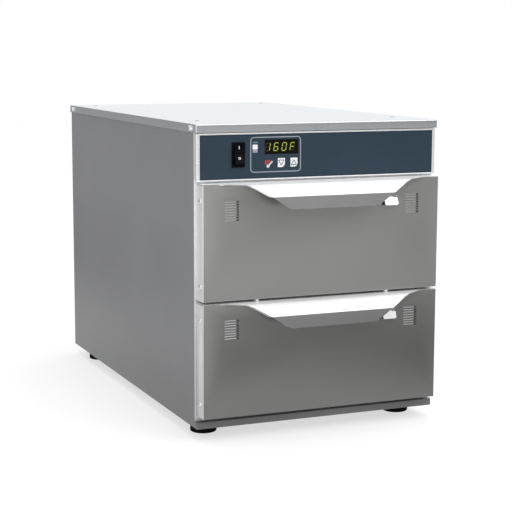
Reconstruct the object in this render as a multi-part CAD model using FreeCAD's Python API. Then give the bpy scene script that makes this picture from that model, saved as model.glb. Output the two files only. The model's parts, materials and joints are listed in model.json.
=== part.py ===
import FreeCAD, Part
import math
import os

# Countertop warming drawer: a narrow, free-standing food warmer with two drawers.
# Units are millimetres. X runs to the right, Y runs to the back and Z runs up.
# While the pieces are built, Y = 0 is the front plane of the cabinet's stiles and Z = 0 is
# the surface that the feet stand on. On export the part is moved along Y only, so that its
# origin lies under the middle of its overall box.

V = FreeCAD.Vector
X_AXIS = V(1, 0, 0)
Y_AXIS = V(0, 1, 0)
Z_AXIS = V(0, 0, 1)

# ---------------------------------------------------------------- driving dimensions
# Casing
cabinet_width = 422.6
cabinet_depth = 702.0
skin = 1.2                      # sheet of the casing, the drawer fronts and the rails
casing_bend = 1.8               # outside radius of the casing's upright front bends
return_flange = 15.0            # inward flanges at the top and rear of each side panel
touch = 0.2                     # assembly clearance between parts that are laid together

# Top cover
cover_flange = 13.6
cover_side_overhang = 1.6
cover_front_overhang = 12.0
cover_rear_overhang = 1.6
cover_bend = 2.0
cover_screw_inset = 10.0
cover_screw_drop = 7.0
plug_radius = 3.5
plug_rise = 0.8
plug_side_inset = 34.5
plug_front_inset = 78.0
plug_rear_inset = 53.0

# Feet and base
foot_height = 20.0
foot_radius = 22.0
foot_side_inset = 34.1
foot_front_inset = 51.5
foot_rear_inset = 65.4
base_strip_height = 11.5
base_strip_reach = 11.0         # how far the base strip stands in front of the stiles
base_upstand = 25.0

# Drawer fronts
drawer_names = ("lower", "upper")
front_height = 184.3
front_gap = 3.7                 # between the two drawer fronts
front_rise = 19.2               # lower front's bottom edge above the cabinet's underside
front_side_reveal = 3.6         # stile that shows beside each front
front_depth = 28.1
front_standoff = 0.6            # between the stiles and the closed front's flanges
front_bend = 1.6

# Hooded pull on each front
pull_sheet = 1.5
pull_reach = 39.3               # from the face to the outside of the lip
pull_flat = 27.3                # level part of the hood in front of the face
pull_drop = 18.6                # height lost over the sloped part
pull_lip = 20.4
pull_lip_half_width = 67.0      # straight bottom edge, each side of the middle
pull_flare = 1.45               # sideways run of the cut edge per unit along the sheet
pull_end_radius = 32.0
pull_root_radius = 24.0
pull_shoulder = 10.0            # outside radius between the level and the sloped part
pull_bend = 2.5                 # outside radius between the sloped part and the lip
hem_height = 5.0
hem_gap = 0.3

# Vents in each front
vent_count = 8
vent_pitch = 4.1
vent_height = 2.0
vent_width = 24.3
vent_centre_x = 159.0
vent_drop = 28.0                # first vent below the front's top edge

# Vent shutter
shutter_sheet = 1.0
shutter_clearance = 0.4
shutter_left_margin = 8.0
shutter_right_margin = 4.0
shutter_edge_margin = 7.0
shutter_travel = 12.0
shutter_vent_offset = 20.3      # the shutter's vents stand this far right of the front's
tab_width = 23.7
tab_left = 106.6
tab_drop = 29.3
tab_height = 13.9
tab_lean = 4.6                  # bottom edge of the tab stands further out than its top
tab_reach = 2.6                 # tab's bend in front of the face
tab_neck_width = 7.8            # narrow strip that joins the tab to its plate
tab_bend = 1.8
tab_corner = 2.8
window_clearance = 0.9
guide_sheet = 1.0
guide_lap = 4.0

# Slides
slide_sheet = 1.2
slide_height = 36.0
slide_depth = 12.7
slide_length = 560.0
slide_setback = 6.0
slide_running_gap = 0.4
slide_wall_gap = 0.5            # between the drawer opening's edge and the slide
drawer_travel = 540.0
slide_below_rim = 8.0           # slide's top below the underside of the pan's rim

# Cabinet cavity
stile_width = 20.9
insulation_side = 12.0
insulation_rear = 12.0
insulation_base = 7.0
insulation_top = 9.0
liner_sheet = 1.0
cavity_rear_space = 62.0        # cabinet back to the cavity's back wall
opening_sill = 5.8              # opening's lower edge above the front's lower edge
opening_head = 9.5              # opening's upper edge below the front's upper edge
rail_flange = 11.0

# Pan and its carrier
carrier_sheet = 1.2
carrier_height = 40.0
carrier_end_margin = 16.0
pan_side_margin = 14.3          # carrier's outside to the pan's rim
pan_rim_length = 527.0
pan_front_margin = 14.0
pan_sheet = 0.9
pan_rim_width = 11.0
pan_taper = 5.0                 # how far each wall leans in at the bottom
pan_corner = 22.0
pan_rim_below_head = 4.6        # rim's top under the opening's upper edge
pan_clearance_below = 14.4      # pan's bottom above the cavity floor

# Gasket and inner panel of each front
gasket_width = 9.0
gasket_seat_gap = 0.3
gasket_margin = 0.7             # inside the edge of the front's inner panel
inner_panel_inset = 2.8         # inner panel's back face in front of the stiles
air_hole_height = 34.0

# Buffers under the upper front
buffer_width = 5.5
buffer_height = 3.0
buffer_depth = 8.0
buffer_setback = 2.0            # behind the face
buffer_from_middle = 115.0

# Control panel
panel_height = 75.8
panel_gap = 3.0                 # upper front to control panel
panel_cover_gap = 0.2
panel_side_reveal = 0.4
panel_reach = 9.5
panel_corner = 3.5              # corners, seen from the front
panel_bend = 2.2                # front edges
overlay_thickness = 0.4
overlay_corner = 0.8
overlay_side_margin = 6.0
overlay_bottom_margin = 2.4
overlay_top_margin = 3.7

# Controls, each placed from the panel's left edge and its middle height
switch_width = 22.0
switch_height = 39.4
switch_from_left = 69.9
switch_up = 2.6
switch_bezel = 2.2
switch_lip = 1.6                # bezel beyond the body, all round
switch_wall = 1.5
switch_body_depth = 26.0
rocker_swing = 8.0              # degrees each side of the middle
rocker_clearance = 0.35
rocker_side_clearance = 0.3
rocker_pin_radius = 1.5
rocker_pin_play = 0.05
rocker_valley = 4.5
rocker_back = 3.0

controller_width = 87.1
controller_height = 56.0
controller_from_left = 133.9
controller_up = 1.8
controller_line = 1.4
controller_corner = 6.0
print_thickness = 0.25

window_width = 57.5
window_height = 22.6
window_right = 9.9
window_up = 11.9
window_thickness = 1.6
digit_height = 13.6
digit_width = 8.2
digit_pitch = 14.0
digit_slant = 10.0
segment_width = 1.35
segment_gap = 0.35
digits_left_of_middle = 2.6

indicator_width = 8.4
indicator_height = 16.8
indicator_left = 35.5
indicator_up = 11.8

key_width = 12.0
key_height = 14.2
key_down_x = 9.5
key_up_x = 31.4
key_drop = 13.3
key_corner = 6.0
key_rise = 0.8
key_travel = 0.6
key_clearance = 0.3
key_stem = 5.0
key_stem_length = 11.0

symbol_left = 18.9              # coloured quarter's corner, from the controller's middle
symbol_drop = 8.7
symbol_width = 10.0
symbol_height = 7.0
thermometer_x = 13.4            # bulb's centre, from the controller's middle
thermometer_drop = 18.4
thermometer_length = 10.6
thermometer_bulb = 2.6

# Electrical pieces
board_width = 94.0
board_height = 54.0
board_thickness = 1.6
pillar_radius = 2.6
cable_radius = 2.2
cable_runs = 10
cable_margin = 40.0
cable_lift = 0.3
strap_width = 10.0
strap_sheet = 0.6
sensor_radius = 2.4
sensor_stem_radius = 1.8
sensor_length = 70.0
transformer_size = 52.0
transformer_height = 44.0
terminal_pole = 11.0
terminal_poles = 4
terminal_height = 16.0
gland_bore = 4.6
gland_body_radius = 9.0
gland_flange_radius = 12.0
gland_reach = 14.0
gland_from_side = 60.0
gland_up = 60.0

# Fasteners
side_screw_head = 4.0
side_screw_rise = 2.4
side_screw_shank = 2.0
side_screw_edge = 25.0          # from the front's top and bottom edges
side_screw_back = 19.0          # in front of the stiles
cover_screw_head = 4.2
cover_screw_rise = 3.8
rear_screw_head = 3.6
rear_screw_rise = 1.8
rear_screw_inset = 7.0
screw_length = 7.0
screw_play = 0.05
foot_screw_radius = 3.0

# ---------------------------------------------------------------- derived levels
half_width = cabinet_width / 2
inner_half = half_width - skin
underside = foot_height
front_pitch = front_height + front_gap
fronts_top = underside + front_rise + front_pitch + front_height
panel_bottom = fronts_top + panel_gap
panel_top = panel_bottom + panel_height
cover_bottom = panel_top + panel_cover_gap
cover_top = cover_bottom + cover_flange
cover_underside = cover_top - skin
casing_top = cover_underside - touch
strip_top = underside + base_strip_height
opening_half = half_width - stile_width
front_half = half_width - front_side_reveal
face_y = -(front_standoff + front_depth)
lip_y = face_y - pull_reach
liner_half = inner_half - touch - insulation_side - touch - liner_sheet
cavity_back = cabinet_depth - cavity_rear_space
cavity_floor_top = underside + front_rise + opening_sill
cavity_ceiling = fronts_top - opening_head + liner_sheet
shelf_bottom = cavity_ceiling + liner_sheet + touch + insulation_top + touch
shelf_top = shelf_bottom + skin
slide_outer_x = opening_half - slide_wall_gap
carrier_half = slide_outer_x - slide_depth
rear_face = cabinet_depth + gland_reach
centre_y = (rear_face + lip_y) / 2


# ---------------------------------------------------------------- helpers
def block(x0, x1, y0, y1, z0, z1):
    """Box between two corners."""
    return Part.makeBox(x1 - x0, y1 - y0, z1 - z0, V(x0, y0, z0))


def slab(half, y0, y1, z0, z1):
    """Box that is centred on X."""
    return block(-half, half, y0, y1, z0, z1)


def round_edges(shape, radius, wanted):
    """Fillet every edge whose two end points both pass the test."""
    edges = [e for e in shape.Edges if wanted(e)]
    return shape.makeFillet(radius, edges) if edges else shape


def along(edge, axis):
    """True for a straight edge that runs along the axis."""
    ends = edge.Vertexes
    if len(ends) < 2:
        return False
    run = ends[1].Point - ends[0].Point
    return run.Length > 1e-6 and abs(abs(run.normalize().dot(axis)) - 1) < 1e-6


def middle(edge):
    return edge.CenterOfMass


def mirrored(shape):
    return shape.mirror(V(0, 0, 0), X_AXIS)


def both_sides(shape):
    return [shape, mirrored(shape)]


def sheet_tray(x0, x1, y0, y1, z0, z1, sheet, bend, open_side):
    """Folded sheet box, open on one side, with rounded bends."""
    axis, sign = open_side
    low = [x0, y0, z0]
    high = [x1, y1, z1]
    inner_low = [v + sheet for v in low]
    inner_high = [v - sheet for v in high]
    number = "xyz".index(axis)
    mouth = high[number] if sign > 0 else low[number]
    if sign > 0:
        inner_high[number] = mouth + sheet
    else:
        inner_low[number] = mouth - sheet

    def closed_end(limit):
        return lambda e: abs(getattr(middle(e), axis) - limit) > 1e-6

    outer = block(low[0], high[0], low[1], high[1], low[2], high[2])
    outer = round_edges(outer, bend, closed_end(mouth))
    inner = block(inner_low[0], inner_high[0], inner_low[1], inner_high[1],
                  inner_low[2], inner_high[2])
    inner_mouth = mouth + sign * sheet
    if bend > sheet + 0.05:
        inner = round_edges(inner, bend - sheet, closed_end(inner_mouth))
    return outer.cut(inner)


def domed_pin(point, direction, head, rise, shank, length, recess=True):
    """Domed head on the point, with its shank behind it, and a cross recess for a driver."""
    pin = Part.makeCylinder(head, rise)
    pin = round_edges(pin, rise * 0.55, lambda e: middle(e).z > rise * 0.9)
    pin = pin.fuse(Part.makeCylinder(shank, length, V(0, 0, -length)))
    if recess:
        arm = block(-head * 0.55, head * 0.55, -head * 0.12, head * 0.12, rise * 0.4, 2 * rise)
        crossing_arm = arm.copy()
        crossing_arm.rotate(V(0, 0, 0), Z_AXIS, 90)
        pin = pin.cut([arm, crossing_arm])
    pin.Placement = FreeCAD.Placement(point, FreeCAD.Rotation(Z_AXIS, direction))
    return pin


def drill(point, direction, radius, depth):
    """Cylinder that cuts a hole through both sides of the point."""
    start = point - V(direction).multiply(depth / 2)
    return Part.makeCylinder(radius, depth, start, direction)


def prism(points, run):
    """Closed polygon that is extruded by a vector."""
    return Part.Face(Part.makePolygon(points + [points[0]])).extrude(run)


def ring(outer, inner):
    return outer.cut(inner)


def export(name, *solids):
    """Write one node, with every solid moved into the part's own frame."""
    placed = []
    for solid in solids:
        copy = solid.copy()
        copy.translate(V(0, -centre_y, 0))
        placed.extend(copy.Solids)
    shape = placed[0] if len(placed) == 1 else Part.makeCompound(placed)
    shape.exportStep(os.path.join("parts", name + ".step"))


# ---------------------------------------------------------------- places of fasteners
def foot_places():
    rows = (foot_front_inset, cabinet_depth - foot_rear_inset)
    return [(side * (half_width - foot_side_inset), y) for side in (-1, 1) for y in rows]


def cover_screw_places():
    z = cover_top - cover_screw_drop
    y_front = cover_screw_inset
    y_rear = cabinet_depth - cover_screw_inset - cover_screw_inset
    return [(side, V(side * (half_width + cover_side_overhang), y, z))
            for side in (-1, 1) for y in (y_front, y_rear)]


def plug_places():
    rows = (plug_front_inset, cabinet_depth - plug_rear_inset)
    return [V(side * (half_width - plug_side_inset), y, cover_top)
            for side in (-1, 1) for y in rows]


def rear_screw_places():
    low = underside + base_upstand + rear_screw_inset
    high = cover_bottom - rear_screw_inset
    heights = [low + (high - low) * k / 3 for k in range(4)]
    x = half_width - rear_screw_inset
    return [V(side * x, cabinet_depth, z) for side in (-1, 1) for z in heights]


# ---------------------------------------------------------------- casing
def side_panel():
    """Right-hand side panel with its stile, rear flange and forward toe."""
    outer = block(opening_half, half_width, 0, cabinet_depth, underside, casing_top)
    outer = round_edges(outer, casing_bend, lambda e: along(e, Z_AXIS)
                        and abs(middle(e).x - half_width) < 1e-6)
    inner = block(opening_half - 1, inner_half, skin, cabinet_depth - skin,
                  underside - 1, casing_top + 1)
    inner = round_edges(inner, casing_bend - skin, lambda e: along(e, Z_AXIS)
                        and abs(middle(e).x - inner_half) < 1e-6)
    panel = outer.cut(inner)
    rear_edge = inner_half - return_flange
    panel = panel.cut(block(opening_half - 1, rear_edge, cabinet_depth - 2 * skin,
                            cabinet_depth + 1, underside - 1, casing_top + 1))
    panel = panel.cut(block(opening_half - 1, half_width + 1, -1, casing_bend,
                            underside - 1, strip_top))
    toe = block(inner_half, half_width, skin - base_strip_reach, casing_bend,
                underside, strip_top)
    top = block(inner_half - return_flange, inner_half, 2 * casing_bend,
                cabinet_depth - 2 * casing_bend, casing_top - skin, casing_top)
    panel = panel.fuse([toe, top]).removeSplitter()
    for side, point in cover_screw_places():
        if side > 0:
            panel = panel.cut(drill(point, X_AXIS, side_screw_shank + screw_play, screw_length * 2))
    for point in rear_screw_places():
        if point.x > 0:
            panel = panel.cut(drill(point, Y_AXIS, side_screw_shank + screw_play, screw_length))
    return panel


def base_pan():
    """Floor of the cabinet with its upstands and the strip below the drawers."""
    rear_end = cabinet_depth - casing_bend
    floor = slab(inner_half, skin - base_strip_reach, rear_end, underside, underside + skin)
    strip = slab(half_width, -base_strip_reach, skin - base_strip_reach, underside, strip_top)
    ledge = slab(inner_half, skin - base_strip_reach, 2 * skin, strip_top - skin, strip_top)
    upstand = block(inner_half - skin, inner_half, 2 * casing_bend, rear_end, underside,
                    underside + base_upstand)
    rear = slab(inner_half, rear_end - skin, rear_end, underside, underside + base_upstand)
    pan = floor.fuse([strip, ledge, upstand, mirrored(upstand), rear]).removeSplitter()
    pan = round_edges(pan, skin * 0.8, lambda e: abs(middle(e).y + base_strip_reach) < 1e-6
                      and along(e, X_AXIS))
    for x, y in foot_places():
        pan = pan.cut(drill(V(x, y, underside), Z_AXIS, foot_screw_radius + screw_play, 4 * skin))
    return pan


def back_panel():
    """Rear skin with cooling slots for the controls and the gland's hole."""
    plate = slab(half_width - casing_bend, cabinet_depth, cabinet_depth + skin,
                 underside + skin, casing_top)
    for point in rear_screw_places():
        plate = plate.cut(drill(point, Y_AXIS, side_screw_shank + screw_play, screw_length))
    for k in range(6):
        z = shelf_top + (2 * k + 3) * skin * 3.2
        plate = plate.cut(slab(opening_half * 0.4, cabinet_depth - 1, cabinet_depth + 2 * skin,
                               z, z + 2 * skin))
    return plate.cut(drill(gland_point(), Y_AXIS, gland_body_radius + touch, 8 * skin))


def top_cover():
    """Flanged lid over the whole cabinet."""
    cover = sheet_tray(-half_width - cover_side_overhang, half_width + cover_side_overhang,
                       -cover_front_overhang, cabinet_depth + skin + cover_rear_overhang,
                       cover_bottom, cover_top, skin, cover_bend, ("z", -1))
    for side, point in cover_screw_places():
        cover = cover.cut(drill(point, X_AXIS, side_screw_shank + screw_play, screw_length))
    for point in plug_places():
        cover = cover.cut(drill(point, Z_AXIS, side_screw_shank + screw_play, screw_length))
    return cover


def cover_screws():
    return [domed_pin(point, V(side, 0, 0), cover_screw_head, cover_screw_rise,
                      side_screw_shank, screw_length) for side, point in cover_screw_places()]


def cover_plugs():
    return [domed_pin(point, Z_AXIS, plug_radius, plug_rise, side_screw_shank, 2 * skin,
                      recess=False)
            for point in plug_places()]


def rear_screws():
    places = [point + V(0, skin, 0) for point in rear_screw_places()]
    return [domed_pin(point, Y_AXIS, rear_screw_head, rear_screw_rise, side_screw_shank,
                      screw_length) for point in places]


def feet():
    """Moulded rubber feet, slightly narrower at the top, with a rounded tread."""
    shapes = []
    for x, y in foot_places():
        foot = Part.makeCone(foot_radius, foot_radius * 0.94, foot_height, V(x, y, 0))
        tread = [e for e in foot.Edges if abs(middle(e).z) < 1e-6]
        foot = foot.makeFillet(foot_radius * 0.12, tread)
        bore = Part.makeCylinder(foot_screw_radius + screw_play, foot_height * 0.6,
                                 V(x, y, foot_height * 0.4))
        shapes.append(foot.cut(bore))
    return shapes


def foot_screws():
    return [domed_pin(V(x, y, underside + skin), Z_AXIS, 2 * foot_screw_radius,
                      foot_screw_radius, foot_screw_radius, foot_height * 0.5)
            for x, y in foot_places()]


def front_rail(z0, z1):
    """Rail across the front opening, folded back along both long edges."""
    plate = slab(inner_half - casing_bend + skin, skin, 2 * skin, z0, z1)
    low = slab(opening_half, 2 * skin, rail_flange, z0, z0 + skin)
    high = slab(opening_half, 2 * skin, rail_flange, z1 - skin, z1)
    return plate.fuse([low, high]).removeSplitter()


def front_bottom(index):
    return underside + front_rise + index * front_pitch


def opening_low(index):
    return front_bottom(index) + opening_sill


def opening_high(index):
    return front_bottom(index) + front_height - opening_head


# ---------------------------------------------------------------- cavity
def cavity_floor():
    return slab(liner_half + liner_sheet, rail_flange + touch, cavity_back + liner_sheet,
                cavity_floor_top - liner_sheet, cavity_floor_top)


def cavity_shell():
    """Roof, side walls and rear wall of the heated space."""
    y0 = rail_flange + touch
    roof = slab(liner_half + liner_sheet, y0, cavity_back + liner_sheet, cavity_ceiling,
                cavity_ceiling + liner_sheet)
    wall = block(liner_half, liner_half + liner_sheet, y0, cavity_back + liner_sheet,
                 cavity_floor_top, cavity_ceiling)
    rear = slab(liner_half, cavity_back, cavity_back + liner_sheet, cavity_floor_top,
                cavity_ceiling)
    shell = roof.fuse([wall, mirrored(wall), rear]).removeSplitter()
    return shell.cut(drill(sensor_point(), Y_AXIS, sensor_stem_radius + touch, 4 * liner_sheet))


def drawer_divider():
    """Shelf that parts the two heated spaces."""
    z = (opening_high(0) + opening_low(1)) / 2
    return slab(liner_half, rail_flange + touch, cavity_back, z - liner_sheet / 2,
                z + liner_sheet / 2)


def side_insulation():
    return block(liner_half + liner_sheet + touch, inner_half - touch, rail_flange,
                 cavity_back + liner_sheet, underside + base_upstand + touch,
                 shelf_bottom - touch)


def rear_insulation():
    return slab(inner_half - return_flange, cavity_back + liner_sheet + touch,
                cavity_back + liner_sheet + touch + insulation_rear,
                underside + base_upstand, shelf_bottom - touch)


def base_insulation():
    """Blanket on the cabinet's floor, cut out round the heads of the foot screws."""
    blanket = slab(inner_half - 2 * skin, rail_flange, cavity_back, underside + skin + touch,
                   underside + skin + insulation_base)
    return blanket.cut([drill(V(x, y, underside), Z_AXIS, 3 * foot_screw_radius, 4 * foot_height)
                        for x, y in foot_places()])


def top_insulation():
    return slab(liner_half, rail_flange + touch, cavity_back,
                cavity_ceiling + liner_sheet + touch,
                cavity_ceiling + liner_sheet + touch + insulation_top)


def control_shelf():
    """Shelf that keeps the heat away from the controls."""
    return slab(inner_half - touch, rail_flange + touch, cabinet_depth - casing_bend,
                shelf_bottom, shelf_top)


def sensor_point():
    return V(0, cavity_back, (opening_high(0) + opening_low(0)) / 2 + front_pitch)


def temperature_sensor():
    """Bulb that reaches into the upper space from the rear wall."""
    centre = sensor_point() - V(0, insulation_rear / 2, 0)
    stem = Part.makeCylinder(sensor_stem_radius, insulation_rear / 2 + liner_sheet, centre, Y_AXIS)
    bulb = Part.makeCylinder(sensor_radius, sensor_length, centre - V(sensor_length / 2, 0, 0),
                             X_AXIS)
    return bulb.fuse(stem).removeSplitter()


def cable_height():
    return cavity_floor_top - liner_sheet - cable_lift - cable_radius


def heating_cable():
    """Serpentine heating cable under the cavity floor."""
    z = cable_height()
    reach = liner_half - cable_margin
    start = rail_flange + cable_margin
    pitch = (cavity_back - 2 * cable_margin) / cable_runs
    bend = pitch / 2
    edges = []
    for k in range(cable_runs):
        y = start + k * pitch
        side = 1 if k % 2 == 0 else -1
        edges.append(Part.makeLine(V(-side * reach, y, z), V(side * reach, y, z)))
        if k < cable_runs - 1:
            arc = Part.Arc(V(side * reach, y, z), V(side * (reach + bend), y + bend, z),
                           V(side * reach, y + pitch, z))
            edges.append(arc.toShape())
    profile = Part.Wire(Part.makeCircle(cable_radius, V(-reach, start, z), X_AXIS))
    return Part.Wire(edges).makePipeShell([profile], True, False)


def cable_straps():
    """Straps that hold the cable up against the cavity floor."""
    low = cable_height() - cable_radius - cable_lift - strap_sheet
    floor = cavity_floor_top - liner_sheet
    y0 = rail_flange + cable_margin / 2
    y1 = cavity_back - cable_margin / 2
    straps = []
    for k in (-1, 0, 1):
        x = k * liner_half * 0.55
        bar = block(x - strap_width / 2, x + strap_width / 2, y0, y1, low, low + strap_sheet)
        front = block(x - strap_width / 2, x + strap_width / 2, y0, y0 + strap_sheet, low, floor)
        rear = block(x - strap_width / 2, x + strap_width / 2, y1 - strap_sheet, y1, low, floor)
        straps.append(bar.fuse([front, rear]).removeSplitter())
    return straps


# ---------------------------------------------------------------- slides
def channel(x_web, reach, half_height, y0, y1, z):
    """Slide member on the right: a web and two lips that point towards the reach."""
    inward = -1 if reach < 0 else 1
    x_back = x_web + inward * slide_sheet
    x_tip = x_web + reach
    web = block(min(x_web, x_back), max(x_web, x_back), y0, y1, z - half_height,
                z + half_height)
    lips = [block(min(x_web, x_tip), max(x_web, x_tip), y0, y1, z + s * half_height
                  - (slide_sheet if s > 0 else 0), z + s * half_height
                  + (0 if s > 0 else slide_sheet)) for s in (-1, 1)]
    return web.fuse(lips).removeSplitter()


def slide_centre(index):
    return carrier_top(index) - slide_below_rim - slide_height / 2


def outer_half_height():
    return slide_height / 2


def middle_half_height():
    return outer_half_height() - slide_sheet - slide_running_gap


def inner_half_height():
    return middle_half_height() - slide_sheet - slide_running_gap


def slide_outer(index):
    lip = slide_depth - 2 * slide_sheet - slide_running_gap
    return channel(slide_outer_x, -lip, outer_half_height(), slide_setback,
                   slide_setback + slide_length, slide_centre(index))


def slide_middle(index):
    x = slide_outer_x - slide_sheet - slide_running_gap
    lip = slide_depth - 2 * slide_sheet - 2 * slide_running_gap
    return channel(x, -lip, middle_half_height(), slide_setback,
                   slide_setback + slide_length, slide_centre(index))


def slide_inner(index):
    lip = slide_depth - 2 * slide_sheet - 2 * slide_running_gap
    return channel(carrier_half, lip, inner_half_height(), slide_setback,
                   slide_setback + slide_length, slide_centre(index))


def slide_brackets(index):
    """Folded spacers between the cavity wall and the slide."""
    z = slide_centre(index)
    half = slide_height / 2
    shapes = []
    for y in (slide_setback + slide_height, slide_setback + slide_length - 2 * slide_height):
        outer = block(slide_outer_x, liner_half, y, y + slide_height, z - half, z + half)
        inner = block(slide_outer_x + slide_sheet, liner_half + 1, y + slide_sheet,
                      y + slide_height - slide_sheet, z - half - 1, z + half + 1)
        shapes.extend(both_sides(outer.cut(inner)))
    return shapes


# ---------------------------------------------------------------- pan and carrier
def carrier_top(index):
    return opening_high(index) - pan_rim_below_head - pan_sheet


def pan_depth():
    return opening_high(0) - pan_rim_below_head - cavity_floor_top - pan_clearance_below


def pan_half():
    return carrier_half - pan_side_margin


def pan_carrier(index):
    """Frame that hangs the pan between the slides and bolts to the drawer front."""
    top = carrier_top(index)
    y0 = -inner_panel_inset
    y1 = pan_front_margin + pan_rim_length + carrier_end_margin
    outer = slab(carrier_half, y0, y1, top - carrier_height, top)
    hollow = slab(carrier_half - carrier_sheet, y0 + carrier_sheet, y1 - carrier_sheet,
                  top - carrier_height - 1, top - carrier_sheet)
    mouth = slab(pan_half() - pan_rim_width + touch, pan_front_margin + pan_rim_width - touch,
                 pan_front_margin + pan_rim_length - pan_rim_width + touch,
                 top - 2 * carrier_sheet, top + 1)
    return outer.cut([hollow, mouth] + air_holes(index, y0 - 1, y0 + 2 * carrier_sheet))


def food_pan(index):
    """Deep-drawn pan with a flat rim, leaning walls and rounded corners."""
    top = carrier_top(index) + pan_sheet
    bottom = top - pan_depth()
    y0 = pan_front_margin
    y1 = y0 + pan_rim_length
    half = pan_half()

    def outline(inset, z, corner):
        x = half - inset
        shape = slab(x, y0 + inset, y1 - inset, z, z + 1)
        shape = round_edges(shape, corner, lambda e: along(e, Z_AXIS))
        low = [f for f in shape.Faces if abs(f.CenterOfMass.z - z) < 1e-6]
        return low[0].OuterWire

    def body(inset, z_low, z_high, corner):
        return Part.makeLoft([outline(inset + pan_taper, z_low, corner),
                              outline(inset, z_high, corner)], True, True)

    outside = body(pan_rim_width, bottom, top, pan_corner)
    inside = body(pan_rim_width + pan_sheet, bottom + pan_sheet, top + pan_sheet,
                  pan_corner - pan_sheet)
    rim = slab(half, y0, y1, top - pan_sheet, top)
    rim = round_edges(rim, pan_corner, lambda e: along(e, Z_AXIS))
    return outside.fuse(rim).cut(inside).removeSplitter()


# ---------------------------------------------------------------- drawer fronts
def vent_slots(z_top, offset, y0, y1):
    """Cutters for the vents at both ends of a front whose top edge is z_top."""
    cutters = []
    for side in (-1, 1):
        x = side * vent_centre_x + offset
        for k in range(vent_count):
            z = z_top - vent_drop - k * vent_pitch
            slot = block(x - vent_width / 2, x + vent_width / 2, y0, y1,
                         z - vent_height / 2, z + vent_height / 2)
            cutters.append(slot)
    return cutters


def tab_window(z_top, y0, y1):
    """Window that the shutter's tab moves in."""
    return block(tab_left - shutter_travel - window_clearance,
                 tab_left + tab_width + window_clearance, y0, y1,
                 z_top - tab_drop - tab_height, z_top - tab_drop + window_clearance)


def side_screw_places(index):
    low = front_bottom(index) + side_screw_edge
    high = front_bottom(index) + front_height - side_screw_edge
    return [(side, V(side * front_half, -side_screw_back, z))
            for side in (-1, 1) for z in (low, high)]


def front_tray(inset, low, top):
    """Solid box with the bends of a drawer front on all edges but the top and rear ones."""
    box = slab(front_half - inset, face_y + inset, -front_standoff + inset, low + inset,
               top - inset)
    return round_edges(box, front_bend - inset, lambda e: middle(e).z < top - inset - 1e-6
                       and middle(e).y < -front_standoff + inset - 1e-6)


def front_panel(index):
    """Outer skin of a drawer front, open at the back, below the pull's top sheet."""
    low = front_bottom(index)
    top = low + front_height
    panel = front_tray(0, low, top - pull_sheet).cut(front_tray(skin, low, top - pull_sheet))
    panel = panel.cut(vent_slots(top, 0, face_y - 1, face_y + 2 * skin))
    panel = panel.cut(tab_window(top, face_y - 1, face_y + 2 * skin))
    for side, point in side_screw_places(index):
        panel = panel.cut(drill(point, X_AXIS, side_screw_shank + screw_play, screw_length))
    return panel


def pull_edges():
    """Half widths of the hood at the face, the upper bend, the lower bend and the lip."""
    slope = math.hypot(pull_drop, pull_reach - pull_flat)
    lip_end = pull_lip_half_width + pull_end_radius * math.tan(pull_angle() / 2)
    lower = lip_end + pull_flare * pull_lip
    upper = lower + pull_flare * slope
    return upper + pull_flare * pull_flat, upper, lower, lip_end


def pull_angle():
    """Angle between the cut edge and the face."""
    return math.atan(1 / pull_flare)


def pull_profile(index):
    """Side outline of the bent sheet, from the back of the front to the lip."""
    top = front_bottom(index) + front_height
    bend_y = face_y - pull_flat
    outer = [V(0, -front_standoff, top), V(0, bend_y, top), V(0, lip_y, top - pull_drop),
             V(0, lip_y, top - pull_drop - pull_lip)]
    slope = math.atan2(pull_drop, pull_reach - pull_flat)
    first = pull_sheet * math.tan(slope / 2)
    second = pull_sheet * math.tan((math.pi / 2 - slope) / 2)
    inner = [V(0, lip_y + pull_sheet, top - pull_drop - pull_lip),
             V(0, lip_y + pull_sheet, top - pull_drop - second),
             V(0, bend_y + first, top - pull_sheet),
             V(0, -front_standoff, top - pull_sheet)]
    return outer + inner


def plan_trim(index):
    """Cutter beside the level and sloped parts of the hood, with a concave root at the face."""
    top = front_bottom(index) + front_height
    at_face, upper, lower, _ = pull_edges()
    bend_y = face_y - pull_flat
    start = at_face + pull_root_radius * math.tan(pull_angle() / 2)
    tangent = start - at_face
    leave = V(at_face - tangent * math.cos(pull_angle()),
              face_y - tangent * math.sin(pull_angle()), 0)
    centre = V(start, face_y - pull_root_radius, 0)
    half_turn = math.pi / 2 + pull_angle() / 2
    halfway = centre + V(pull_root_radius * math.cos(half_turn),
                         pull_root_radius * math.sin(half_turn), 0)
    far = front_half + pull_root_radius
    corner = V(start, face_y, 0)
    edges = [Part.makeLine(V(far, face_y, 0), corner),
             Part.Arc(corner, halfway, leave).toShape(),
             Part.makeLine(leave, V(upper, bend_y, 0)),
             Part.makeLine(V(upper, bend_y, 0), V(lower, lip_y, 0)),
             Part.makeLine(V(lower, lip_y, 0), V(far, lip_y, 0)),
             Part.makeLine(V(far, lip_y, 0), V(far, face_y, 0))]
    cutter = Part.Face(Part.Wire(edges)).extrude(V(0, 0, 3 * pull_drop))
    cutter.translate(V(0, 0, top - 2 * pull_drop))
    return cutter


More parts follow.
